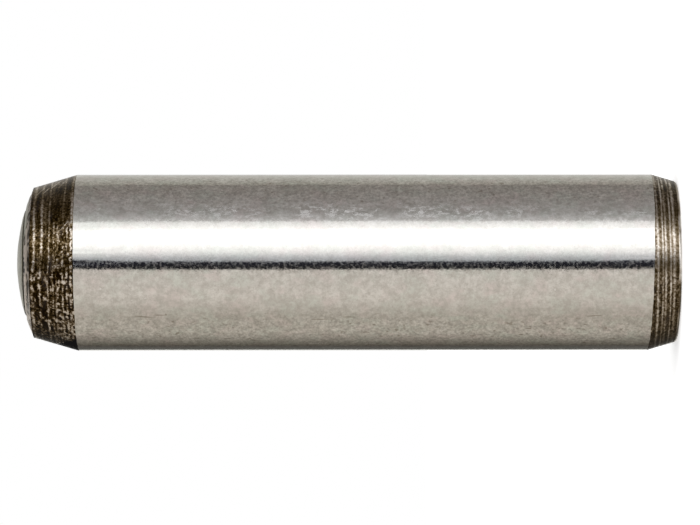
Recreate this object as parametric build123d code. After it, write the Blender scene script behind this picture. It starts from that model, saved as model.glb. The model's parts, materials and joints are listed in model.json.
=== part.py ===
from build123d import *
import math
import os

# Hardened and ground dowel pin, made from one steel bar.
#
# The pin stands upright on its flat end, with its axis along +Z and its origin at the centre of
# that flat end. From the bottom up it has a flat foot with a broken edge, a short turned chamfer,
# the ground shank that does the locating, a long turned lead chamfer, and a turned dome.
# All sizes are in millimetres, and angles are in degrees from the pin's axis.

# The ground shank and the whole pin
PIN_DIAMETER = 8.01  # 8 mm nominal, in the middle of the m6 tolerance band
PIN_LENGTH = 30.0  # from the flat foot to the crown of the dome

# The entering end, at the top
LEAD_CHAMFER_LENGTH = 1.95  # along the axis, from the shank to the rim of the dome
LEAD_CHAMFER_ANGLE = 16.5
DOME_RADIUS = 8.0  # spherical, as large as the nominal diameter
DOME_EDGE_RADIUS = 0.1  # tool nose radius left between the dome and the lead chamfer

# The foot, at the bottom
FOOT_CHAMFER_LENGTH = 1.21  # along the axis, from the flat end to the shank
FOOT_CHAMFER_ANGLE = 16.5
FOOT_EDGE_RADIUS = 0.2  # broken edge between the flat end and the short chamfer


def chamfer_drop(length: float, angle: float) -> float:
    """How far a chamfer of this length along the axis comes in from the shank's radius."""
    return length * math.tan(math.radians(angle))


def half_section() -> Sketch:
    """Half of the pin's lengthwise section, drawn with the radius along X and the axis along Y."""
    shank_radius = PIN_DIAMETER / 2
    foot_rim_radius = shank_radius - chamfer_drop(FOOT_CHAMFER_LENGTH, FOOT_CHAMFER_ANGLE)
    dome_rim_radius = shank_radius - chamfer_drop(LEAD_CHAMFER_LENGTH, LEAD_CHAMFER_ANGLE)

    dome_centre_height = PIN_LENGTH - DOME_RADIUS
    dome_rim_angle = math.asin(dome_rim_radius / DOME_RADIUS)
    dome_rim = (dome_rim_radius, dome_centre_height + DOME_RADIUS * math.cos(dome_rim_angle))
    dome_middle = (
        DOME_RADIUS * math.sin(dome_rim_angle / 2),
        dome_centre_height + DOME_RADIUS * math.cos(dome_rim_angle / 2),
    )

    crown = (0, PIN_LENGTH)
    foot_rim = (foot_rim_radius, 0)
    shank_foot = (shank_radius, FOOT_CHAMFER_LENGTH)
    shank_top = (shank_radius, dome_rim[1] - LEAD_CHAMFER_LENGTH)
    straight_sides = Polyline(crown, (0, 0), foot_rim, shank_foot, shank_top, dome_rim)
    section = make_face(straight_sides + ThreePointArc(dome_rim, dome_middle, crown))
    section = fillet(section.vertices().sort_by_distance(foot_rim)[0], FOOT_EDGE_RADIUS)
    return fillet(section.vertices().sort_by_distance(dome_rim)[0], DOME_EDGE_RADIUS)


def dowel_pin() -> Part:
    """The whole pin: its half section stood upright and turned about the axis."""
    return revolve(Plane.XZ * half_section(), axis=Axis.Z)


os.makedirs("parts", exist_ok=True)
pin = dowel_pin()
export_step(pin, "parts/dowel_pin.step")
print("dowel_pin volume mm3", round(pin.volume, 2), "size", pin.bounding_box().size)
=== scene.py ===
"""Looks of a hardened and ground dowel pin: its turned ends, its ground shank and a small studio."""

import json
import logging
import math
from dataclasses import dataclass
from enum import Enum
from typing import Any

import bpy
import numpy as np
from mathutils import Matrix, Vector


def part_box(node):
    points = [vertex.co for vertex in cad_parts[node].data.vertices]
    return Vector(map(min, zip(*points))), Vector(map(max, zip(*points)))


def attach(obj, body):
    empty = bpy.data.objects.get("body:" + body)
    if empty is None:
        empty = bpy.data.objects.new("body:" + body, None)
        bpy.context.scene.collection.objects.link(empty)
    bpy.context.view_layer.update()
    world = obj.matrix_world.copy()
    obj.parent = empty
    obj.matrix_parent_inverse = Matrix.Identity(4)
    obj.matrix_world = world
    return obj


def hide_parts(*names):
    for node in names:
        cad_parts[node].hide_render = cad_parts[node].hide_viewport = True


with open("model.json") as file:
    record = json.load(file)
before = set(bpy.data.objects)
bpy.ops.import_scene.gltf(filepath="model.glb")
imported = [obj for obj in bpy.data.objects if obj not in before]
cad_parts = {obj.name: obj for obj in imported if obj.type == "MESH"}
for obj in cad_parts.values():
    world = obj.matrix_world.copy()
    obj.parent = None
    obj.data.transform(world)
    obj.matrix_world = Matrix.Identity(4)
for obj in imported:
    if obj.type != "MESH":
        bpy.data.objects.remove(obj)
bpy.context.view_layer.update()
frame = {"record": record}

# Lengths are in millimetres until a mesh is written, and angles are in degrees.
# An angle round the pin is counted from its front, which faces -Y, towards +X.
# "Along" is the way down a surface in the pin's lengthwise section, starting nearest the dome.

log = logging.getLogger("dowel_pin")

MM = 0.001
NODE = "dowel_pin"
COLUMNS = 600  # grid lines round the pin
CHAMFER_ANGLE = 16.5  # both cones, against the axis
LEAD_ROWS, LEAD_SEED = 62, 100
FOOT_ROWS, FOOT_SEED = 38, 300

Colour = tuple[float, float, float]


class Finish(Enum):
    """The finishes on the pin, in the order of its material slots."""

    GROUND = 0
    SCALE = 1
    FACED = 2
    THIN_SCALE = 3


# ------------------------------------------------------------------ shapes and patterns


def smooth_step(low: float, high: float, value: np.ndarray) -> np.ndarray:
    """Ramp from 0 to 1 between low and high: 3t squared less 2t cubed, with t the clipped share.

    Args:
        low: Value at which the ramp starts.
        high: Value at which the ramp ends.
        value: Values to look up.

    Returns:
        The ramp at each value.
    """
    t = np.clip((value - low) / (high - low), 0.0, 1.0)
    return t * t * (3.0 - 2.0 * t)


def bell(value: np.ndarray, centre: float | np.ndarray, width: float) -> np.ndarray:
    """Bell curve: e to the power of less the squared distance from centre, in widths."""
    return np.exp(-(((value - centre) / width) ** 2))


def window(angle: np.ndarray, first: float, last: float, fade: float) -> np.ndarray:
    """1 between two angles round the pin and 0 outside them, with a soft fade at both.

    Args:
        angle: Angles round the pin, from -180 to 180.
        first: Angle at which the window opens.
        last: Angle at which it closes.
        fade: Width of each fade.

    Returns:
        The product of a rising and a falling ramp.
    """
    return smooth_step(first - fade / 2, first + fade / 2, angle) * (
        1.0 - smooth_step(last - fade / 2, last + fade / 2, angle)
    )


def grain(angle: np.ndarray, along: np.ndarray, round_mm: float, along_mm: float, seed: int,
          radius: float = 4.0) -> np.ndarray:
    """Smooth random field that closes on itself round the pin.

    A grid of random numbers from -1 to 1 covers the surface. Each point blends the four
    numbers round it, with the smooth step of its place between them as the weight.

    Args:
        angle: Angles round the pin.
        along: Distances along the surface.
        round_mm: Size of a cell round the pin.
        along_mm: Size of a cell along the surface.
        seed: Seed of the random numbers.
        radius: Radius at which round_mm is measured.

    Returns:
        The field, from -1 to 1, in the shape of angle and along.
    """
    cells = max(3, round(2.0 * math.pi * radius / round_mm))
    u = (angle / 360.0) % 1.0 * cells
    v = (along - along.min()) / along_mm
    lattice = np.random.default_rng(seed).uniform(-1.0, 1.0, (int(v.max()) + 2, cells))
    column, row = np.floor(u).astype(int), np.floor(v).astype(int)
    s, t = smooth_step(0.0, 1.0, u - column), smooth_step(0.0, 1.0, v - row)
    left, right = column % cells, (column + 1) % cells
    upper = lattice[row, left] * (1.0 - s) + lattice[row, right] * s
    lower = lattice[row + 1, left] * (1.0 - s) + lattice[row + 1, right] * s
    return upper * (1.0 - t) + lower * t


def add_object(name: str, data: bpy.types.ID) -> bpy.types.Object:
    """New object of this name and data, linked to the scene."""
    made = bpy.data.objects.new(name, data)
    bpy.context.scene.collection.objects.link(made)
    return made


@dataclass(frozen=True)
class PinSizes:
    """Sizes of the pin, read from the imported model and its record."""

    radius: float
    length: float
    shank_low: float
    shank_high: float

    @classmethod
    def from_frame(cls, record: dict[str, Any]) -> "PinSizes":
        """Sizes from the node's box and from the record's mount on the shank.

        Args:
            record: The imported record.

        Returns:
            The sizes, in millimetres.
        """
        low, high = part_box(NODE)
        mount = next(m for m in record["mounts"] if m["name"] == "shank")
        middle, half = mount["pos_m"][2] / MM, mount["dims"]["length_mm"] / 2.0
        return cls(mount["dims"]["r_mm"], (high.z - low.z) / MM, middle - half, middle + half)


@dataclass
class Band:
    """One band of the pin's skin, as grids with a row for each step along and a column round.

    The last three grids drive the finish, each from 0 to 1: bare is how much bright metal shows,
    torn is how rough the tool left it, and the last is how much it is blackened, which on the lead
    chamfer's smooth patch is a painted dark reflection.
    """

    radius: np.ndarray
    height: np.ndarray
    bare: np.ndarray
    torn: np.ndarray
    blackened_and_dark_reflection: np.ndarray
    finish: Finish


@dataclass(frozen=True)
class Scratch:
    """A straight line scored or torn in a turned surface."""

    along: float
    angle: float
    along_end: float
    angle_end: float
    width: float = 0.03
    strength: float = 1.0

    def field(self, angle: np.ndarray, along: np.ndarray, radius: float) -> np.ndarray:
        """Bell curve of the distance to the line from its start to its end.

        Args:
            angle: Angles round the pin.
            along: Distances along the surface.
            radius: Radius that turns angles into distances.

        Returns:
            Strength on the line, falling to 0 beside it.
        """
        per_degree = math.radians(1.0) * radius
        step = np.array([self.along_end - self.along, (self.angle_end - self.angle) * per_degree])
        a, b = along - self.along, (angle - self.angle) * per_degree
        share = np.clip((a * step[0] + b * step[1]) / (step @ step), 0.0, 1.0)
        distance = np.hypot(a - share * step[0], b - share * step[1])
        return self.strength * bell(distance, 0.0, self.width)


@dataclass(frozen=True)
class Ridge:
    """A crest that the tool's feed left: its distance along, its half width and how bare it is."""

    along: float
    width: float
    bare: float
    beads: float


# ------------------------------------------------------------------ the pin's sub-assemblies


@dataclass
class LeadDome:
    """Shallow turned dome on the entering end, faced with fine rings and one deeper groove.

    Scale from hardening stays on the band outside the groove, darkest on the side facing +X.
    """

    sizes: PinSizes
    sphere_radius: float = 8.0
    rim_radius: float = 3.427
    groove_radius: float = 2.51
    groove_width: float = 0.095
    groove_depth: float = 0.080
    ring_pitch: float = 0.30
    ring_depth: float = 0.010
    plain_radius: float = 1.9

    def rim_height(self) -> float:
        """Height of the dome's rim: the sphere's centre plus what is left of its radius there."""
        drop = math.sqrt(self.sphere_radius ** 2 - self.rim_radius ** 2)
        return self.sizes.length - self.sphere_radius + drop

    def rows(self) -> np.ndarray:
        """Radius of each row: wide steps inside, fine ones at the groove and even ones to the rim."""
        fine = 2.4 * self.groove_width
        inner, outer = self.groove_radius - fine, self.groove_radius + fine
        edges = (0.0, self.plain_radius, inner, outer, self.rim_radius)
        counts = (7, 6, 15, 21)
        steps = [np.linspace(a, b, n + 1)[1:] for a, b, n in zip(edges[:-1], edges[1:], counts)]
        return np.concatenate(steps)

    def band(self, angle: np.ndarray) -> Band:
        """Dome as a function of the distance from the axis and the angle round it.

        Height is the sphere's, less rings that are a cosine of the distance from the axis and
        a groove that is a bell curve of the distance from its own radius.

        Args:
            angle: Angle of each column.

        Returns:
            The dome's skin, without the crown's own point.
        """
        radius = self.rows()[:, None] + 0.0 * angle
        angle = angle + 0.0 * radius
        drift = grain(angle, radius, 3.0, 0.5, 11)
        rings = 0.5 - 0.5 * np.cos(2.0 * math.pi * radius / self.ring_pitch + 1.5 * drift)
        groove = bell(radius, self.groove_radius, self.groove_width)
        turned = grain(angle, radius, 1.5, 0.17, 12)
        strokes = 0.70 * turned + 0.55 * grain(angle, radius, 0.15, 0.15, 13)
        strokes = 2.0 * smooth_step(-0.42, 0.42, strokes) - 1.0
        centre = self.sizes.length - self.sphere_radius
        height = centre + np.sqrt(self.sphere_radius ** 2 - radius ** 2)
        # The scale starts at the groove, and further out on the side that faces +X.
        start = self.groove_radius + 0.07 + 0.50 * smooth_step(8.0, 50.0, angle)
        scale = smooth_step(0.0, 0.12, radius - start)
        height = height - self.ring_depth * rings * (1.0 - scale) - self.groove_depth * groove
        height = height - 0.006 * (0.4 + 1.6 * scale) * (1.2 - strokes) - 0.012 * scale
        dark_side = smooth_step(-48.0, -4.0, angle) * (1.0 - smooth_step(120.0, 170.0, angle))
        clean = 0.55 + 0.22 * strokes + 0.20 * rings
        scaled = 0.48 - 0.24 * dark_side + 0.46 * strokes
        scaled = scaled + 0.90 * bell(radius, self.rim_radius - 0.13, 0.08) * (1.0 - 0.9 * dark_side)
        bare = np.clip(clean + scale * (scaled - clean), 0.0, 1.0) * (1.0 - groove)
        burnt = smooth_step(-0.6, 0.4, grain(angle, radius, 0.20, 0.3, 14))
        rim_line = np.maximum(
            0.9 * bell(radius, self.rim_radius, 0.04) * (1.0 - dark_side),
            dark_side * (0.30 + 0.70 * burnt) * smooth_step(0.40, 0.22, self.rim_radius - radius),
        )
        blots = scale * (0.25 + 0.60 * dark_side) * smooth_step(0.0, 0.9, -strokes)
        blackened_and_dark_reflection = np.maximum.reduce([smooth_step(0.12, 0.50, groove), rim_line, blots])
        return Band(radius, height, bare, scale, np.clip(blackened_and_dark_reflection, 0.0, 1.0), Finish.FACED)


@dataclass
class TurnedChamfer:
    """Turned cone between the ground shank and an end, with the crests of the tool's feed.

    The cone may run out of true with the shank, which the grinding wheel cut later. Its scale
    reaches past its edge on to the shank, and swings between more and less round the pin. Its
    crests climb by the helix in each turn.
    """

    sizes: PinSizes
    ridges: tuple[Ridge, ...]
    angle_deg: float
    rows: int
    seed: int
    depth: float = 0.011
    wander: float = 1.0
    run_out: float = 0.0
    run_out_angle: float = 90.0
    reach: float = 0.045
    swing: float = 0.0
    helix: float = 0.0
    scratches: tuple[Scratch, ...] = ()
    cracks: tuple[Scratch, ...] = ()

    def edge(self, angle: np.ndarray) -> np.ndarray:
        """Ragged reach of the scale past the cone's edge: reach less swing times the angle's sine."""
        ragged = 0.010 * grain(angle, 0.0 * angle, 0.35, 1.0, self.seed + 1)
        return self.reach - self.swing * np.sin(np.radians(angle)) + ragged

    def climb(self, angle: np.ndarray, along: float) -> np.ndarray:
        """How far a crest has climbed at an angle: its share of a turn times the helix."""
        return self.helix * angle / 360.0

    def crests(self, angle: np.ndarray, along: np.ndarray,
               torn: np.ndarray) -> tuple[np.ndarray, np.ndarray]:
        """Heights and bareness of the feed crests: bell curves whose line wanders and beads.

        Args:
            angle: Angles round the pin.
            along: Distances along the cone.
            torn: How torn the surface is, from 0 to 1.

        Returns:
            The crests' height and their bareness, both from 0 to 1.
        """
        height, bare, flat = np.zeros_like(along), np.zeros_like(along), np.zeros_like(along)
        for number, ridge in enumerate(self.ridges):
            seed = self.seed + 10 * number
            drift = 0.014 * grain(angle, flat, 1.1, 1.0, seed)
            jitter = 0.016 * torn * grain(angle, flat, 0.22, 1.0, seed + 3)
            line = ridge.along + self.wander * (drift + jitter) + self.climb(angle, ridge.along)
            bead = grain(angle, flat, ridge.beads, 1.0, seed + 1)
            patch = grain(angle, flat, 1.3, 1.0, seed + 2)
            shape = bell(along, line, ridge.width * (1.0 + 0.3 * torn * bead))
            wear_and_highlight = np.clip(0.78 + 0.60 * bead * torn + 0.25 * patch, 0.0, 1.15)
            faint = (0.60 + 0.26 * patch + 0.10 * bead) * (ridge.bare > 0.7)
            height = np.maximum(height, shape * (0.5 + 0.5 * torn * np.clip(0.7 + 0.6 * bead, 0.0, 1.0)))
            share = smooth_step(0.0, 0.4, torn)
            bare = np.maximum(bare, shape * ridge.bare * (faint + share * (wear_and_highlight - faint)))
        return height, np.clip(bare, 0.0, 1.2)


@dataclass
class LeadChamfer(TurnedChamfer):
    """Long turned chamfer on the entering end, smooth on one side and torn on the other."""

    dome: LeadDome | None = None
    bite_low: float = -0.050
    bite_rise: float = 0.135
    bite_fall: float = 0.055
    bite_end: float = 1.9
    patch_angle: float = -90.0
    patch_half_angle: float = 27.0
    patch_start: float = 0.95
    patch_depth: float = 0.9

    def climb(self, angle: np.ndarray, along: float) -> np.ndarray:
        """Step in the crests at the front, where the tool bit deeper.

        The step is a rising and a falling ramp of the angle. It fades out at the back, and
        along the cone towards the shank.

        Args:
            angle: Angles round the pin.
            along: The crest's distance along the cone.

        Returns:
            The climb, in the shape of angle.
        """
        step = self.bite_low + self.bite_rise * smooth_step(-10.0, 4.0, angle)
        step = step - self.bite_fall * smooth_step(20.0, 45.0, angle)
        at_front = 1.0 - smooth_step(110.0, 160.0, np.abs(angle))
        return step * at_front * max(0.0, 1.0 - along / self.bite_end)

    def band(self, angle: np.ndarray) -> Band:
        """Cone as a function of the distance along it and the angle, with all relief cut inwards.

        Args:
            angle: Angle of each column.

        Returns:
            The chamfer's skin.
        """
        slope = math.radians(self.angle_deg)
        rim_r, rim_z = self.dome.rim_radius, self.dome.rim_height()
        whole = (self.sizes.radius - rim_r) / math.sin(slope) + self.edge(angle)
        share = np.linspace(0.0, 1.0, self.rows)[:, None]
        along = share * whole
        angle = angle + 0.0 * along
        near_shank = smooth_step(0.9, 1.6, along)
        low = 1.0 - smooth_step(-10.0, 4.0, angle)
        torn = window(angle, -150.0, 28.0, 5.0) * (0.45 + 0.55 * np.maximum(low, near_shank))
        crest, bare = self.crests(angle, along, torn)
        fleck = grain(angle, along, 0.17, 0.085, self.seed + 2)
        flecks = smooth_step(0.05, 0.65, fleck) * torn * (0.25 + 0.35 * low + 0.40 * near_shank)
        pit = smooth_step(0.35, 0.9, grain(angle, along, 0.16, 0.11, self.seed + 5)) * torn
        for crack in self.cracks:
            pit = np.maximum(pit, crack.field(angle, along, self.sizes.radius - 0.3))
        streak = grain(angle, along, 0.085, 0.7, self.seed + 3)
        streaks = smooth_step(0.1, 0.6, streak) * window(angle, -64.0, -42.0, 6.0) * near_shank
        lines = np.zeros_like(along)
        for scratch in self.scratches:
            lines = np.maximum(lines, scratch.field(angle, along, self.sizes.radius - 0.3))
        # A smooth patch beside the shank, on the side that faces -X, painted black as a dark reflection:
        # its edge is a parabola of the angle, with a slightly more ragged edge behind.
        ragged = 0.04 + 0.60 * smooth_step(-88.0, -108.0, angle)
        ragged = ragged * grain(angle, along, 0.25, 0.15, self.seed + 8)
        aside = (angle - self.patch_angle) / self.patch_half_angle
        edge = self.patch_start + self.patch_depth * aside ** 2
        smooth_dark_reflection = smooth_step(0.0, 0.12, along - edge + ragged)
        rough = grain(angle, along, 0.08, 0.07, self.seed + 4)
        height = np.maximum.reduce([crest, 0.9 * flecks, 0.7 * streaks, 0.9 * lines])
        height = (height - 0.6 * pit) * (1.0 - 0.8 * smooth_dark_reflection) + 0.15 * rough * (0.3 + 0.7 * torn)
        relief = self.depth * (0.6 + 0.8 * torn) * np.clip(height - 1.0, -1.6, 0.0)
        fade = smooth_step(0.0, 0.03, along) * smooth_step(0.0, 0.03, whole - along)
        relief = relief * fade
        bare = np.maximum.reduce([bare, 0.70 * flecks, 0.6 * streaks, 0.9 * lines])
        smooth_side = 1.0 - smooth_step(0.0, 0.4, torn)
        middle = window(angle, -6.0, 27.0, 8.0)
        feed = 0.5 + 0.5 * np.cos(2.0 * math.pi * (along - self.ridges[2].along) / 0.18)
        kept = smooth_step(-0.5, 0.3, grain(angle, along, 0.5, 0.18, self.seed + 6))
        feed = feed * smooth_step(0.8, 0.95, along) * kept
        patches = grain(angle, along, 0.7, 0.35, self.seed + 7)
        bare = bare * (0.96 - 0.16 * middle + 0.20 * low) + 0.04 * middle
        bare = bare + low * 0.22 * (feed - 0.35) + smooth_side * (0.10 + 0.14 * patches)
        # Painted highlight: the metal is lighter round 80 degrees, where the cone grazes the view at its
        # silhouette towards +X.
        bare = bare + 0.10 * bell(angle, 80.0, 10.0)
        bare = (bare - 0.60 * pit * (0.3 + 0.7 * low)) * (1.0 - smooth_dark_reflection) - 0.5 * smooth_dark_reflection
        radius = rim_r + along * math.sin(slope) + relief * math.cos(slope)
        radius = np.minimum(radius, self.sizes.radius)
        height_z = rim_z - along * math.cos(slope) + relief * math.sin(slope)
        lumpy = np.maximum(torn, 0.25) * (1.0 - smooth_dark_reflection)
        return Band(radius, height_z, bare, lumpy, smooth_dark_reflection, Finish.SCALE)


@dataclass
class Shank:
    """Ground shank, straight and round, that meets both cones along their own edges."""

    sizes: PinSizes
    rows: int = 4

    def band(self, upper: np.ndarray, lower: np.ndarray) -> Band:
        """Cylinder between two edges: rows crowd towards both, by a half turn of a cosine.

        Args:
            upper: Height of the edge nearest the dome, for each column.
            lower: Height of the edge nearest the foot, for each column.

        Returns:
            The shank's skin, without the two edges themselves.
        """
        share = 0.5 - 0.5 * np.cos(np.linspace(0.0, math.pi, self.rows + 2))[1:-1, None]
        height = upper + (lower - upper) * share
        radius = self.sizes.radius + 0.0 * height
        blank = np.zeros_like(height)
        return Band(radius, height, blank, blank, blank, Finish.GROUND)


@dataclass
class FootChamfer(TurnedChamfer):
    """Short turned chamfer above the flat foot, and its rounded edge."""

    edge_radius: float = 0.2
    edge_rows: int = 6

    def rim_radius(self) -> float:
        """Radius at which the cone would meet the flat end if the edge were sharp."""
        return self.sizes.radius - self.sizes.shank_low * math.tan(math.radians(self.angle_deg))

    def band(self, angle: np.ndarray) -> Band:
        """Cone from the shank to its rounded edge, then the edge as an arc, down to the flat end.

        Args:
            angle: Angle of each column.

        Returns:
            The skin of the chamfer and its edge.
        """
        slope = math.radians(self.angle_deg)
        off = self.run_out * np.cos(np.radians(angle - self.run_out_angle))
        start = self.sizes.shank_low - off / math.tan(slope) + self.edge(angle)
        # The arc touches the cone this far from the sharp corner, and spans this angle.
        tangent = self.edge_radius * math.tan((math.pi / 2 - slope) / 2)
        whole = start / math.cos(slope) - tangent
        share = np.linspace(0.0, 1.0, self.rows)[:, None]
        along = share * whole
        angle_grid = angle + 0.0 * along
        torn = 0.12 + 0.24 * (1.0 - window(angle_grid, -10.0, 44.0, 16.0))
        from_rim = whole + tangent - along
        crest, bare = self.crests(angle_grid, from_rim, torn)
        fleck = grain(angle_grid, along, 0.075, 0.06, self.seed + 2)
        flecks = smooth_step(0.2, 0.8, fleck) * smooth_step(0.9, 1.1, from_rim)
        rough = grain(angle_grid, along, 0.06, 0.05, self.seed + 4)
        height = np.maximum(crest, 0.6 * flecks) + 0.12 * rough
        relief = self.depth * np.clip(height - 1.0, -1.3, 0.0)
        fade = smooth_step(0.0, 0.03, along) * smooth_step(0.0, 0.03, whole - along)
        relief = relief * fade
        radius = self.rim_radius() + off + from_rim * math.sin(slope) + relief * math.cos(slope)
        radius = np.minimum(radius, self.sizes.radius)
        height_z = from_rim * math.cos(slope) - relief * math.sin(slope)
        # Lighter in a band round 13 degrees and beyond 26 to 50 degrees towards +X, darker beyond 28 to 55
        # degrees towards -X.
        low_side = smooth_step(28.0, 55.0, -angle_grid)
        front_band = 0.05 + 0.25 * bell(angle_grid, 13.0, 22.0) - 0.035 * low_side
        kept = 0.76 + 0.20 * smooth_step(26.0, 50.0, angle_grid) - 0.12 * low_side
        bare = front_band + kept * np.clip(np.maximum(bare, 0.5 * flecks), 0.0, 1.0)
        turned = np.linspace(0.0, math.pi / 2 - slope, self.edge_rows + 1)[1:, None] + 0.0 * angle
        centre = self.rim_radius() + off - tangent
        arc_r = centre + self.edge_radius * np.cos(slope + turned)
        arc_z = self.edge_radius - self.edge_radius * np.sin(slope + turned)
        rub = grain(angle + 0.0 * arc_r, 0.0 * arc_r, 0.4, 1.0, self.seed + 5)
        round_edge = angle + 0.0 * arc_r
        # Painted highlight: the rounded edge is lighter between -14 and 34 degrees, where the brightest
        # cards are mirrored in it; it is lighter too beyond 36 to 46 degrees from the front.
        wear_and_highlight = 0.85 * window(round_edge, -14.0, 34.0, 12.0)
        wear_and_highlight = wear_and_highlight + 0.35 * smooth_step(36.0, 46.0, np.abs(round_edge))
        arc_bare_and_highlight = (0.35 + wear_and_highlight) * (0.85 + 0.35 * rub)
        blank = np.zeros_like(along)
        return Band(
            np.vstack([radius, arc_r]),
            np.vstack([height_z, arc_z]),
            np.vstack([bare, arc_bare_and_highlight]),
            np.vstack([torn, 0.1 + 0.0 * arc_r]),
            np.vstack([blank, 0.0 * arc_r]),
            Finish.THIN_SCALE,
        )


@dataclass
class FootFace:
    """Flat faced end that the pin stands on, with fine facing rings cut up into it."""

    sizes: PinSizes
    ring_pitch: float = 0.3
    ring_depth: float = 0.004
    rows: int = 5

    def band(self, rim: np.ndarray, angle: np.ndarray) -> Band:
        """Disc inside the rim: height is a raised cosine of the distance from the axis.

        Args:
            rim: Radius at which the flat starts, for each column.
            angle: Angle of each column; not used.

        Returns:
            The face's skin, without the point on the axis.
        """
        share = np.linspace(1.0, 0.0, self.rows + 2)[1:-1, None]
        radius = share * rim
        rings = 0.5 - 0.5 * np.cos(2.0 * math.pi * (rim - radius) / self.ring_pitch)
        height = self.ring_depth * rings
        bare = 0.3 + 0.3 * rings
        blank = np.zeros_like(height)
        return Band(radius, height, bare, blank, blank, Finish.FACED)


@dataclass
class DowelPin:
    """The whole pin: one closed skin from the crown of the dome to the centre of the foot."""

    sizes: PinSizes
    run_out: float = 0.027

    def bands(self, angle: np.ndarray) -> list[Band]:
        """All bands of the skin, from the crown down.

        Args:
            angle: Angle of each column.

        Returns:
            The bands in order.
        """
        dome = LeadDome(self.sizes)
        lead = LeadChamfer(
            self.sizes, LEAD_RIDGES, CHAMFER_ANGLE, LEAD_ROWS, LEAD_SEED, reach=0.060,
            swing=0.045, scratches=LEAD_SCRATCHES, cracks=LEAD_CRACKS, dome=dome,
        )
        foot = FootChamfer(
            self.sizes, FOOT_RIDGES, CHAMFER_ANGLE, FOOT_ROWS, FOOT_SEED, depth=0.010, wander=0.35,
            run_out=self.run_out, helix=0.22,
        )
        dome_band, lead_band, foot_band = dome.band(angle), lead.band(angle), foot.band(angle)
        shank_band = Shank(self.sizes).band(lead_band.height[-1], foot_band.height[0])
        face_band = FootFace(self.sizes).band(foot_band.radius[-1], angle)
        return [dome_band, lead_band, shank_band, foot_band, face_band]

    def build(self) -> bpy.types.Object:
        """Stacks the bands, closes both ends with one point each, and writes the mesh.

        A point lies at radius times (sine, less cosine) of its angle, at its height.

        Returns:
            The pin's object, with its attributes and a material index on every face.
        """
        angle = (np.arange(COLUMNS) / COLUMNS * 360.0)[None, :]
        angle = (angle + 180.0) % 360.0 - 180.0
        bands = self.bands(angle)
        radius = np.vstack([b.radius for b in bands])
        height = np.vstack([b.height for b in bands])
        turn = np.radians(angle)
        grid = np.stack([radius * np.sin(turn), -radius * np.cos(turn), height], axis=-1)
        crown = np.array([[0.0, 0.0, self.sizes.length - 0.001]])
        foot = np.array([[0.0, 0.0, 0.002]])
        points = np.vstack([crown, grid.reshape(-1, 3), foot]) * MM
        rows = radius.shape[0]
        quads, fans = self.faces(rows)
        finish_of_row = np.concatenate([np.full(len(b.radius), b.finish.value) for b in bands])
        # A quad takes the finish of its upper row, and the two steps beside the shank are part
        # of the shank.
        shank = finish_of_row == Finish.GROUND.value
        by_row = np.where(shank[1:] | shank[:-1], Finish.GROUND.value, finish_of_row[:-1])
        quad_finish = np.repeat(by_row, COLUMNS)
        fan_finish = np.full(len(fans), Finish.FACED.value)
        mesh = bpy.data.meshes.new("pin_skin")
        loops = np.concatenate([quads.ravel(), fans.ravel()]).astype(np.int32)
        sizes = np.concatenate([np.full(len(quads), 4), np.full(len(fans), 3)])
        mesh.vertices.add(len(points))
        mesh.vertices.foreach_set("co", points.astype(np.float32).ravel())
        mesh.loops.add(len(loops))
        mesh.loops.foreach_set("vertex_index", loops)
        mesh.polygons.add(len(sizes))
        mesh.polygons.foreach_set("loop_start", (np.cumsum(sizes) - sizes).astype(np.int32))
        slots = np.concatenate([quad_finish, fan_finish]).astype(np.int32)
        mesh.polygons.foreach_set("material_index", slots)
        mesh.update(calc_edges=True)
        mesh.validate()
        mesh.shade_smooth()
        for name in ("bare", "torn", "blackened_and_dark_reflection"):
            values = np.concatenate([[0.3], *[getattr(b, name).ravel() for b in bands], [0.3]])
            layer = mesh.attributes.new(name, "FLOAT", "POINT")
            layer.data.foreach_set("value", values.astype(np.float32))
        return add_object("pin", mesh)

    @staticmethod
    def faces(rows: int) -> tuple[np.ndarray, np.ndarray]:
        """Faces of the grid, all facing outwards: quads between rows and a fan at each end.

        Args:
            rows: Number of rows in the grid.

        Returns:
            The quads and the triangles, as rows of point numbers. Point 0 is the crown.
        """
        column = np.arange(COLUMNS)
        after = (column + 1) % COLUMNS
        first = 1 + np.arange(rows - 1)[:, None] * COLUMNS
        quads = np.stack(
            [first + column, first + COLUMNS + column, first + COLUMNS + after, first + after], axis=-1
        ).reshape(-1, 4)
        last_row = 1 + (rows - 1) * COLUMNS
        foot = last_row + COLUMNS
        top = np.stack([np.zeros(COLUMNS, int), 1 + column, 1 + after], axis=-1)
        bottom = np.stack([np.full(COLUMNS, foot), last_row + after, last_row + column], axis=-1)
        return quads, np.vstack([top, bottom])


# Crests of the feed, counted from the dome's rim down the lead chamfer.
LEAD_RIDGES = (
    Ridge(0.16, 0.064, 0.88, 0.22),
    Ridge(0.53, 0.060, 0.78, 0.24),
    Ridge(0.91, 0.032, 0.95, 0.60),
    Ridge(1.15, 0.040, 0.45, 0.20),
    Ridge(1.32, 0.035, 0.50, 0.16),
    Ridge(1.60, 0.040, 0.75, 0.20),
    Ridge(1.80, 0.040, 0.60, 0.14),
    Ridge(1.98, 0.055, 0.85, 0.17),
)

# Scratches and burrs on the lead chamfer.
LEAD_SCRATCHES = (
    Scratch(0.95, -32.6, 1.98, -35.7, 0.032, 1.2),
    Scratch(0.15, 58.0, 0.62, 71.0, 0.024, 0.9),
    Scratch(0.55, 60.0, 0.80, 67.0, 0.022, 0.8),
    Scratch(0.95, 66.0, 1.30, 76.0, 0.022, 0.9),
    Scratch(1.30, 64.0, 1.62, 74.0, 0.024, 0.9),
    Scratch(1.45, 22.0, 1.85, 28.0, 0.025, 0.8),
)

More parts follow.
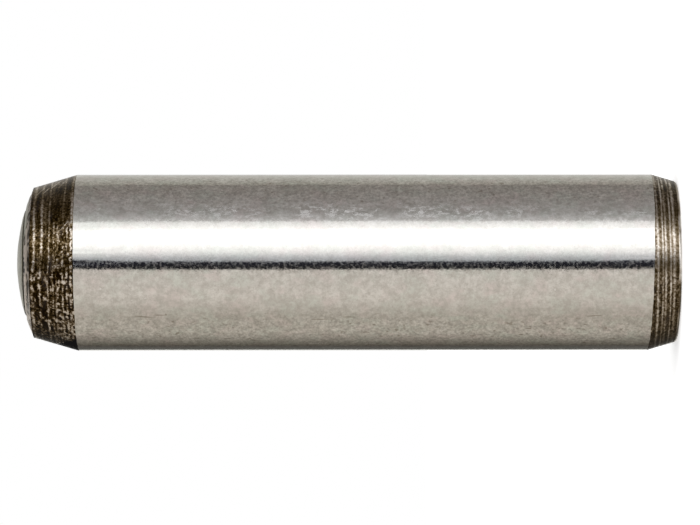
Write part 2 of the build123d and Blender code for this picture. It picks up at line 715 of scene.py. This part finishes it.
# Cracks across the feed on the lead chamfer.
LEAD_CRACKS = (
    Scratch(1.15, -11.6, 1.85, -11.0, 0.040, 1.0),
    Scratch(1.30, -14.8, 1.95, -15.0, 0.035, 0.9),
    Scratch(0.05, -37.2, 0.75, -36.5, 0.035, 1.0),
    Scratch(0.80, -24.0, 1.40, -23.0, 0.030, 0.7),
    Scratch(1.45, -28.0, 1.95, -27.0, 0.030, 0.8),
)

# Crests of the feed on the foot, counted from the sharp corner up the chamfer.
FOOT_RIDGES = (
    Ridge(0.36, 0.062, 0.72, 0.30),
    Ridge(0.53, 0.036, 1.00, 0.50),
    Ridge(0.76, 0.050, 0.84, 0.12),
    Ridge(0.90, 0.034, 1.15, 0.60),
    Ridge(1.13, 0.050, 0.92, 0.11),
)


# ------------------------------------------------------------------ finishes


class Graph:
    """Node tree of a material or of the world, built one node at a time."""

    def __init__(self, owner: bpy.types.Material | bpy.types.World) -> None:
        """Empties the owner's node tree, ready to be built.

        Args:
            owner: Material or world that the tree belongs to.
        """
        self.owner = owner
        owner.use_nodes = True
        self.tree = owner.node_tree
        self.tree.nodes.clear()

    @classmethod
    def material(cls, name: str) -> "Graph":
        """Tree of a new material of this name."""
        return cls(bpy.data.materials.new(name))

    def node(self, kind: str, inputs: dict[str | int, Any] | None = None,
             **settings: Any) -> bpy.types.Node:
        """Adds a node, sets its options, and sets or links its inputs.

        Args:
            kind: Blender's type name of the node, without "ShaderNode".
            inputs: Values or sockets, by the input's name or number.
            settings: Options of the node itself.

        Returns:
            The new node.
        """
        made = self.tree.nodes.new("ShaderNode" + kind)
        for key, value in settings.items():
            setattr(made, key, value)
        for key, value in (inputs or {}).items():
            if isinstance(value, bpy.types.NodeSocket):
                self.tree.links.new(value, made.inputs[key])
            else:
                made.inputs[key].default_value = value
        return made

    def attribute(self, name: str) -> bpy.types.NodeSocket:
        """Value of a mesh attribute."""
        return self.node("Attribute", attribute_name=name).outputs["Fac"]

    def noise(self, scale: float, detail: float = 3.0, roughness: float = 0.55,
              stretch: Colour = (1.0, 1.0, 1.0)) -> bpy.types.NodeSocket:
        """Noise on the object's own coordinates.

        Args:
            scale: Cells in a metre.
            detail: Number of finer layers.
            roughness: Weight of the finer layers.
            stretch: Factor on the cells along X, Y and Z.

        Returns:
            The noise, from 0 to 1.
        """
        place = self.node("TexCoord").outputs["Object"]
        mapped = self.node("Mapping", {"Vector": place, "Scale": stretch}).outputs["Vector"]
        made = self.node(
            "TexNoise", {"Vector": mapped, "Scale": scale, "Detail": detail, "Roughness": roughness}
        )
        return made.outputs["Fac"]

    def ramp(self, value: bpy.types.NodeSocket, low: float, high: float, out_low: float = 0.0,
             out_high: float = 1.0) -> bpy.types.NodeSocket:
        """Straight ramp of a value, clipped at both ends.

        Args:
            value: Value to look up.
            low: Value that gives out_low.
            high: Value that gives out_high.
            out_low: Result at low.
            out_high: Result at high.

        Returns:
            The ramp's result.
        """
        inputs = {"Value": value, "From Min": low, "From Max": high, "To Min": out_low, "To Max": out_high}
        return self.node("MapRange", inputs).outputs["Result"]

    def mix(self, factor: bpy.types.NodeSocket, first: Any, second: Any) -> bpy.types.NodeSocket:
        """Blend of two colours, each a socket or a colour."""
        first, second = (c if isinstance(c, bpy.types.NodeSocket) else (*c, 1.0) for c in (first, second))
        return self.node("Mix", {0: factor, 6: first, 7: second}, data_type="RGBA").outputs[2]

    def colour_ramp(self, value: bpy.types.NodeSocket,
                    stops: tuple[tuple[float, Colour], ...]) -> bpy.types.NodeSocket:
        """Colour at a value, straight between the colours of the stops on both sides of it.

        Args:
            value: Value to look up.
            stops: Places from 0 to 1, and the colour at each.

        Returns:
            The colour.
        """
        made = self.node("ValToRGB", {"Fac": value})
        elements = made.color_ramp.elements
        while len(elements) < len(stops):
            elements.new(1.0)
        for element, (place, colour) in zip(elements, stops):
            element.position, element.color = place, (*colour, 1.0)
        return made.outputs["Color"]

    def math(self, operation: str, first: Any, second: Any = 0.0) -> bpy.types.NodeSocket:
        """Result of one sum on two values, each a socket or a number."""
        return self.node("Math", {0: first, 1: second}, operation=operation).outputs[0]

    def bump(self, height: bpy.types.NodeSocket, distance: float, strength: float,
             normal: bpy.types.NodeSocket | None = None) -> bpy.types.NodeSocket:
        """Normal bent by a height field, on top of an earlier one if it is given."""
        inputs = {"Height": height, "Distance": distance, "Strength": strength}
        if normal is not None:
            inputs["Normal"] = normal
        return self.node("Bump", inputs).outputs["Normal"]

    def surface(self, shader: bpy.types.NodeSocket) -> bpy.types.Material:
        """Links the shader to the output and returns the finished material."""
        self.node("OutputMaterial", {"Surface": shader})
        return self.owner


@dataclass(frozen=True)
class Mark:
    """A small mark on the shank: an ellipse on its skin, with its own lean.

    Its place is its height and its angle round the pin, and its sizes are half its length
    along the pin and half its width.
    """

    height: float
    angle: float
    half_length: float
    half_width: float
    lean: float = 0.0

    def mask(self, g: Graph, radius: float, soft: float = 0.5) -> bpy.types.NodeSocket:
        """1 inside the mark, fading to 0 at its edge, from the distance in half sizes.

        Args:
            g: Tree that the nodes are made in.
            radius: Radius of the shank.
            soft: Share of the half size at which the fade starts.

        Returns:
            The mask.
        """
        turn = math.radians(self.angle)
        place = (radius * math.sin(turn) * MM, -radius * math.cos(turn) * MM, self.height * MM)
        mapped = g.node("Mapping", {
            "Vector": g.node("TexCoord").outputs["Object"],
            "Location": place,
            "Rotation": (0.0, math.radians(self.lean), turn),
            "Scale": (self.half_width * MM, 1.5 * MM, self.half_length * MM),
        }, vector_type="TEXTURE")
        away = g.node("VectorMath", {0: mapped.outputs["Vector"]}, operation="LENGTH").outputs["Value"]
        return g.ramp(away, soft, 1.0, 1.0, 0.0)


PALE_MARKS = (
    Mark(21.7, -60.5, 0.50, 0.020),
    Mark(16.4, -65.5, 0.60, 0.025, 0.5),
    Mark(14.0, -66.0, 0.40, 0.020),
    Mark(24.0, -23.5, 0.05, 0.045),
    Mark(26.0, -17.0, 0.06, 0.040),
    Mark(5.7, -17.7, 0.05, 0.060),
    Mark(12.0, 37.5, 0.40, 0.035, -2.0),
    Mark(7.3, 36.5, 0.28, 0.030),
    Mark(1.9, 34.0, 0.55, 0.025, 1.0),
)

DARK_MARKS = (
    Mark(24.1, -37.3, 0.50, 0.048, 6.0),
    Mark(23.4, -36.0, 0.30, 0.036, 2.0),
    Mark(23.1, -35.6, 0.06, 0.065),
    Mark(22.8, -41.5, 0.08, 0.060),
    Mark(23.0, -45.5, 0.10, 0.050),
    Mark(26.4, -57.5, 0.14, 0.055, -4.0),
    Mark(25.5, -57.5, 0.14, 0.050, 4.0),
    Mark(14.9, -37.6, 0.36, 0.040, 1.0),
    Mark(16.2, -39.5, 0.50, 0.036, -1.0),
    Mark(3.9, -36.7, 0.42, 0.038, -4.0),
)

# Band of light scuffs along the pin.
SCUFFED = Mark(15.0, 36.0, 26.0, 0.85, 0.6)

# Strip down the front where the brightest cards are mirrored, with its mottle flattened as a painted
# clipped highlight.
CLIPPED_HIGHLIGHT_STRIP = Mark(15.0, 14.5, 60.0, 1.35)

# Sides of the front where the grinding left a coarser grain.
GRAINY = (Mark(15.0, -58.0, 40.0, 2.0), Mark(15.0, 56.0, 40.0, 1.6))


@dataclass(frozen=True)
class GroundSteel:
    """Shank: bright steel, plunge ground, so that its lay runs round the pin."""

    steel: Colour = (0.80, 0.79, 0.765)
    dull: Colour = (0.60, 0.585, 0.555)
    rosy: Colour = (0.77, 0.72, 0.705)
    grey: Colour = (0.73, 0.755, 0.715)
    smooth: float = 0.05
    rough: float = 0.22
    scuffed: float = 0.43
    anisotropy: float = 0.5
    pale: Colour = (0.95, 0.95, 0.95)
    stain: Colour = (0.28, 0.24, 0.19)

    def marks(self, g: Graph, marks: tuple[Mark, ...], radius: float) -> bpy.types.NodeSocket:
        """Greatest mask of all the marks.

        Args:
            g: Tree that the nodes are made in.
            marks: The marks.
            radius: Radius of the shank.

        Returns:
            The joint mask.
        """
        masks = [mark.mask(g, radius) for mark in marks]
        joint = masks[0]
        for mask in masks[1:]:
            joint = g.math("MAXIMUM", joint, mask)
        return joint

    def material(self, radius: float) -> bpy.types.Material:
        """Bright metal, blurred along the pin more than round it, mottled, scuffed and marked.

        Args:
            radius: Radius of the shank.

        Returns:
            The finished material.
        """
        g = Graph.material("ground_steel")
        cloud = g.noise(1000.0, 2.0, 0.5)
        other = g.noise(1300.0, 2.0, 0.5, (1.0, 1.0, 0.6))
        mottle = g.noise(2600.0, 4.0, 0.85)
        tint = g.mix(g.ramp(cloud, 0.48, 0.62), self.steel, self.rosy)
        tint = g.mix(g.ramp(other, 0.48, 0.62), tint, self.grey)
        # Painted highlight: the mottle is flattened to 35 per cent in the strip where the brightest cards
        # are mirrored.
        uneven = g.ramp(CLIPPED_HIGHLIGHT_STRIP.mask(g, radius), 0.0, 1.0, 1.0, 0.35)
        dull = g.math("MULTIPLY", g.ramp(mottle, 0.39, 0.61, -0.5, 0.5), uneven)
        colour = g.mix(g.math("ADD", dull, 0.5), tint, self.dull)
        grainy = g.ramp(self.marks(g, GRAINY, radius), 0.0, 1.0, 0.04, 0.22)
        speck = g.ramp(g.noise(7000.0, 4.0, 0.75), 0.38, 0.62, -1.0, 1.0)
        tone = g.math("ADD", g.math("MULTIPLY", speck, grainy), 1.0)
        colour = g.node("VectorMath", {0: colour, "Scale": tone}, operation="SCALE").outputs["Vector"]
        pits = g.ramp(g.noise(4200.0, 2.0, 0.6, (1.0, 1.0, 0.7)), 0.64, 0.70)
        pits = g.math("MULTIPLY", pits, self.marks(g, GRAINY, radius))
        dashes = g.ramp(g.noise(5500.0, 3.0, 0.65, (1.0, 1.0, 0.55)), 0.45, 0.60)
        clusters = g.ramp(g.noise(420.0, 2.0, 0.6, (1.0, 1.0, 0.8)), 0.40, 0.54, 0.35, 1.1)
        scuffs = g.math("MULTIPLY", g.math("MULTIPLY", dashes, clusters), SCUFFED.mask(g, radius, 0.1))
        pale = g.math("MAXIMUM", scuffs, self.marks(g, PALE_MARKS, radius))
        colour = g.mix(g.math("MULTIPLY", pale, 0.75), colour, self.pale)
        stains = g.math("MULTIPLY", g.math("MAXIMUM", self.marks(g, DARK_MARKS, radius), pits), 0.62)
        colour = g.mix(stains, colour, self.stain)
        lay = g.noise(3500.0, 2.0, 0.6, (1.0, 1.0, 4.0))
        ripple = g.bump(lay, 0.0000028, 1.0)
        normal = g.bump(g.noise(8000.0, 2.0, 0.6), 0.0000010, 1.0, ripple)
        rough = g.ramp(g.noise(6000.0, 3.0, 0.75), 0.44, 0.60, self.smooth, self.rough)
        rough = g.math("MAXIMUM", rough, g.math("MULTIPLY", pale, self.scuffed))
        tangent = g.node("Tangent", direction_type="RADIAL", axis="Z").outputs["Tangent"]
        shader = g.node("BsdfPrincipled", {
            "Base Color": colour,
            "Metallic": 1.0,
            "Roughness": rough,
            "Anisotropic": self.anisotropy,
            "Anisotropic Rotation": 0.25,
            "Tangent": tangent,
            "Normal": normal,
        })
        return g.surface(shader.outputs["BSDF"])


@dataclass(frozen=True)
class HardeningScale:
    """Turned chamfers: brown-black scale from hardening, with bare metal on the crests."""

    name: str = "hardening_scale"
    stops: tuple[tuple[float, Colour], ...] = (
        (0.00, (0.008, 0.0038, 0.0008)),
        (0.25, (0.056, 0.034, 0.009)),
        (0.50, (0.220, 0.166, 0.100)),
        (0.75, (0.460, 0.400, 0.335)),
        (1.00, (0.730, 0.675, 0.610)),
    )
    mauve: Colour = (0.085, 0.070, 0.066)
    black: Colour = (0.006, 0.0055, 0.006)

    def material(self) -> bpy.types.Material:
        """Dark metal that lightens from brown-black to bare steel, with lumps where it is torn.

        The lightness is the bareness, scaled by fine lumps, plus a fine speckle of its own.
        """
        g = Graph.material(self.name)
        lumps = g.noise(7500.0, 2.0, 0.6)
        fine = g.noise(14000.0, 2.0, 0.6)
        patch = g.noise(1200.0, 2.0, 0.5, (1.0, 1.0, 2.0))
        torn = g.attribute("torn")
        lines = g.noise(13000.0, 2.0, 0.6, (0.10, 0.10, 1.0))
        lumpy = g.math("MULTIPLY", torn, g.ramp(lumps, 0.38, 0.62, -0.60, 0.50))
        scaled = g.math("MULTIPLY", g.attribute("bare"), g.math("ADD", lumpy, 1.0))
        dots, blobs = g.ramp(fine, 0.38, 0.62, -0.08, 0.22), g.ramp(lumps, 0.40, 0.60, -0.06, 0.11)
        speckle = g.math("ADD", dots, blobs)
        speckle = g.math("ADD", speckle, g.ramp(lines, 0.38, 0.62, -0.05, 0.10))
        light = g.math("ADD", scaled, g.math("MULTIPLY", speckle, g.ramp(torn, 0.10, 0.25, 0.5, 1.0)))
        colour = g.colour_ramp(light, self.stops)
        colour = g.mix(g.ramp(patch, 0.55, 0.75, 0.0, 0.4), colour, self.mauve)
        # Painted dark reflection: where the lead chamfer's smooth patch is marked, the scale turns black
        # and stops being metal.
        colour = g.mix(g.attribute("blackened_and_dark_reflection"), colour, self.black)
        rough = g.ramp(light, 0.0, 0.8, 0.36, 0.22)
        relief = g.math("MULTIPLY", lumps, torn)
        normal = g.bump(fine, 0.000004, 1.0, g.bump(relief, 0.000022, 1.0))
        shader = g.node("BsdfPrincipled", {
            "Base Color": colour,
            "Metallic": g.ramp(g.attribute("blackened_and_dark_reflection"), 0.0, 1.0, 1.0, 0.0),
            "Roughness": rough,
            "Specular IOR Level": 0.01,
            "Normal": normal,
        })
        return g.surface(shader.outputs["BSDF"])


# Colours of the thinner scale on the foot, from its darkest to bare metal.
THIN_STOPS = (
    (0.00, (0.012, 0.0070, 0.0022)),
    (0.25, (0.078, 0.054, 0.022)),
    (0.50, (0.285, 0.231, 0.168)),
    (0.75, (0.560, 0.510, 0.450)),
    (1.00, (0.800, 0.760, 0.710)),
)


@dataclass(frozen=True)
class FacedSteel:
    """Dome and foot: faced steel under a thin grey-green film."""

    film: Colour = (0.058, 0.054, 0.038)
    metal: Colour = (0.27, 0.26, 0.195)
    scale: Colour = (0.020, 0.014, 0.006)
    worn_scale: Colour = (0.42, 0.345, 0.28)
    dark: Colour = (0.010, 0.007, 0.003)

    def material(self) -> bpy.types.Material:
        """Satin grey metal, lighter on the rings' crests and dark in the groove."""
        g = Graph.material("faced_steel")
        cloud = g.noise(2500.0, 2.0, 0.5)
        fine = g.noise(11000.0, 2.0, 0.6)
        light = g.math("MULTIPLY", g.attribute("bare"), g.ramp(cloud, 0.3, 0.7, 0.6, 1.4))
        light = g.math("ADD", light, g.ramp(fine, 0.35, 0.65, -0.12, 0.12))
        clean = g.mix(g.ramp(light, 0.0, 1.0), self.film, self.metal)
        scaled = g.mix(g.ramp(light, 0.0, 1.0), self.scale, self.worn_scale)
        colour = g.mix(g.attribute("torn"), clean, scaled)
        colour = g.mix(g.attribute("blackened_and_dark_reflection"), colour, self.dark)
        lines = g.noise(9000.0, 2.0, 0.6, (0.12, 0.12, 1.0))
        normal = g.bump(fine, 0.000007, 1.0, g.bump(lines, 0.000010, 1.0))
        shader = g.node("BsdfPrincipled", {
            "Base Color": colour,
            "Metallic": g.ramp(g.attribute("blackened_and_dark_reflection"), 0.0, 1.0, 0.95, 0.0),
            "Roughness": 0.28,
            "Specular IOR Level": 0.01,
            "Normal": normal,
        })
        return g.surface(shader.outputs["BSDF"])


# ------------------------------------------------------------------ studio


@dataclass(frozen=True)
class Card:
    """Upright card that the shank mirrors, as a part of the tent round the pin.

    Its edges are given by where the camera sees them in the shank, as shares of the shank's
    radius from its middle line, positive towards +X. Its tones are the light at each edge.
    """

    start: float
    end: float
    tone: Colour
    tone_end: Colour


CARDS = (
    Card(1.00, 0.98, (0.70, 0.69, 0.67), (0.60, 0.59, 0.56)),
    Card(0.98, 0.88, (0.60, 0.59, 0.55), (0.38, 0.36, 0.32)),
    Card(0.88, 0.66, (0.27, 0.25, 0.23), (0.32, 0.30, 0.29)),
    Card(0.66, 0.56, (0.33, 0.31, 0.30), (0.35, 0.34, 0.33)),
    Card(0.56, 0.466, (0.35, 0.34, 0.33), (0.61, 0.60, 0.60)),
    Card(0.466, 0.37, (1.00, 0.99, 0.99), (1.55, 1.55, 1.55)),
    Card(0.37, 0.21, (1.80, 1.80, 1.80), (1.70, 1.70, 1.70)),
    Card(0.21, 0.13, (1.60, 1.60, 1.60), (1.26, 1.25, 1.25)),
    Card(0.13, 0.055, (1.26, 1.25, 1.25), (0.62, 0.63, 0.66)),
    Card(0.055, 0.012, (0.62, 0.63, 0.66), (0.46, 0.48, 0.51)),
    Card(0.012, -0.079, (0.02, 0.02, 0.03), (0.02, 0.02, 0.02)),
    Card(-0.079, -0.38, (0.72, 0.68, 0.63), (0.73, 0.68, 0.62)),
    Card(-0.38, -0.61, (0.73, 0.68, 0.62), (0.52, 0.48, 0.42)),
    Card(-0.61, -0.79, (0.52, 0.48, 0.42), (0.51, 0.47, 0.41)),
    Card(-0.79, -0.94, (0.51, 0.47, 0.41), (0.11, 0.10, 0.08)),
    Card(-0.94, -0.99, (0.10, 0.09, 0.08), (0.13, 0.13, 0.12)),
    Card(-0.99, -1.00, (0.85, 0.84, 0.80), (0.85, 0.84, 0.80)),
)


@dataclass
class Studio:
    """White table in a small tent of cards, under an even white sky and one soft lamp.

    The camera stands camera_diameters of the shank away, at camera_share of the pin's length.
    """

    sizes: PinSizes
    tent_radius: float = 45.0
    tent_half: float = 250.0
    table_half: float = 600.0
    table_white: float = 0.9
    table_lift: float = 0.40
    sky: float = 0.85
    lamp_watts: float = 0.30
    lamp_distance: float = 350.0
    lamp_size: float = 250.0
    lamp_direction: tuple[float, float, float] = (0.55, -0.35, 0.76)
    card_columns: int = 12
    sensor_width: float = 36.0
    lens: float = 209.3
    camera_diameters: float = 23.16
    camera_share: float = 0.495
    camera_lean: float = -0.05

    def tent(self) -> bpy.types.Object:
        """Cards as parts of an upright cylinder round the pin, each with a straight run of tone.

        The shank's point at share s faces the angle arcsine s. The mirrored ray leaves at twice
        that, and meets the tent at twice that less arcsine of (shank radius over tent radius
        times s).

        Returns:
            The tent, which only mirror rays can see.
        """
        share = np.concatenate([np.linspace(c.start, c.end, self.card_columns) for c in CARDS])
        weight = np.tile(np.linspace(0.0, 1.0, self.card_columns), len(CARDS))[:, None]
        first = np.repeat(np.array([c.tone for c in CARDS]), self.card_columns, axis=0)
        last = np.repeat(np.array([c.tone_end for c in CARDS]), self.card_columns, axis=0)
        tone = first * (1.0 - weight) + last * weight
        facing = np.arcsin(share)
        where = 2.0 * facing - np.arcsin(self.sizes.radius / self.tent_radius * share)
        ring = np.stack([np.sin(where), -np.cos(where)], axis=-1) * self.tent_radius
        low = np.column_stack([ring, np.full(len(ring), -self.tent_half)])
        high = np.column_stack([ring, np.full(len(ring), self.tent_half)])
        column = np.arange(len(ring) - 1)
        kept = column[(column + 1) % self.card_columns != 0]
        back = np.array([[len(ring) - 1, 0]])
        pairs = np.vstack([np.stack([kept, kept + 1], axis=-1), back])
        quads = np.column_stack([pairs, pairs[:, ::-1] + len(ring)])
        mesh = bpy.data.meshes.new("tent")
        mesh.from_pydata((np.vstack([low, high]) * MM).tolist(), [], quads.tolist())
        layer = mesh.attributes.new("tone", "FLOAT_COLOR", "POINT")
        rgba = np.column_stack([np.vstack([tone, tone]), np.ones(2 * len(ring))])
        layer.data.foreach_set("color", rgba.astype(np.float32).ravel())
        tent = add_object("tent", mesh)
        tent.visible_camera = False
        tent.visible_diffuse = False
        tent.visible_shadow = False
        g = Graph.material("card_light")
        tones = g.node("Attribute", attribute_name="tone").outputs["Color"]
        mesh.materials.append(g.surface(g.node("Emission", {"Color": tones}).outputs["Emission"]))
        return tent

    def seen(self, g: Graph) -> bpy.types.NodeSocket:
        """1 for rays from the camera, from mirrors and through glass, and 0 for the others."""
        path = g.node("LightPath").outputs
        mirrored = g.math("MAXIMUM", path["Is Glossy Ray"], path["Is Transmission Ray"])
        return g.math("MAXIMUM", path["Is Camera Ray"], mirrored)

    def table(self) -> bpy.types.Object:
        """Flat white table that keeps the pin's shadow and reads as white where it is open."""
        half = self.table_half * MM
        mesh = bpy.data.meshes.new("table")
        corners = [(-half, -half, 0.0), (half, -half, 0.0), (half, half, 0.0), (-half, half, 0.0)]
        mesh.from_pydata(corners, [], [(0, 1, 2, 3)])
        table = add_object("table", mesh)
        g = Graph.material("table_white")
        paint = g.node("BsdfDiffuse", {"Color": (self.table_white,) * 3 + (1.0,)}).outputs["BSDF"]
        lift = g.math("MULTIPLY", self.seen(g), self.table_lift)
        glow = g.node("Emission", {"Strength": lift}).outputs["Emission"]
        mesh.materials.append(g.surface(g.node("AddShader", {0: paint, 1: glow}).outputs["Shader"]))
        table.visible_glossy = False
        return table

    def world(self) -> None:
        """Even white sky: plain light on the pin, and pure white where it is seen or mirrored."""
        world = bpy.data.worlds.new("sky")
        bpy.context.scene.world = world
        g = Graph(world)
        strength = g.ramp(self.seen(g), 0.0, 1.0, self.sky, 1.0)
        background = g.node("Background", {"Color": (1.0, 1.0, 1.0, 1.0), "Strength": strength})
        g.node("OutputWorld", {"Surface": background.outputs["Background"]})

    def lamp(self) -> bpy.types.Object:
        """One large soft lamp above and to the side, for the table's shadow."""
        light = bpy.data.lights.new("soft_lamp", "AREA")
        light.shape = "SQUARE"
        light.size = self.lamp_size * MM
        light.energy = self.lamp_watts
        lamp = add_object("soft_lamp", light)
        place = Vector(self.lamp_direction) * self.lamp_distance * MM
        lamp.location = place
        lamp.rotation_mode = "QUATERNION"
        lamp.rotation_quaternion = (-place).to_track_quat("-Z", "Y")
        lamp.visible_glossy = False
        return lamp

    def camera(self) -> bpy.types.Object:
        """Long lens on its side in front of the pin, so that the dome is at the picture's left."""
        data = bpy.data.cameras.new("camera")
        data.sensor_width = self.sensor_width
        data.lens = self.lens
        camera = add_object("camera", data)
        distance = self.camera_diameters * 2.0 * self.sizes.radius
        height = self.camera_share * self.sizes.length
        right, up, back = Vector((0.0, 0.0, -1.0)), Vector((1.0, 0.0, 0.0)), Vector((0.0, -1.0, 0.0))
        lean = Matrix.Rotation(math.radians(self.camera_lean), 3, "Z")
        turn = Matrix((right, up, back)).transposed() @ lean
        camera.matrix_world = Matrix.Translation(Vector((0.0, -distance, height)) * MM) @ turn.to_4x4()
        bpy.context.scene.camera = camera
        return camera

    def build(self) -> None:
        """Makes the tent, the table, the sky, the lamp and the camera."""
        self.tent()
        self.table()
        self.world()
        self.lamp()
        self.camera()
        bpy.context.scene.view_settings.view_transform = "Standard"


def main() -> None:
    """Builds and dresses the pin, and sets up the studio."""
    logging.basicConfig(level=logging.INFO, format="%(name)s: %(message)s")
    sizes = PinSizes.from_frame(frame["record"])
    pin = DowelPin(sizes).build()
    finishes = {
        Finish.GROUND: GroundSteel().material(sizes.radius),
        Finish.SCALE: HardeningScale().material(),
        Finish.FACED: FacedSteel().material(),
        Finish.THIN_SCALE: HardeningScale("thin_scale", THIN_STOPS).material(),
    }
    for finish in Finish:
        pin.data.materials.append(finishes[finish])
    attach(pin, "root")
    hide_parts(NODE)
    log.info("pin: %d points, %d faces", len(pin.data.vertices), len(pin.data.polygons))
    Studio(sizes).build()
    log.info("studio: tent, table, sky, lamp and camera")


if __name__ == "__main__":
    main()
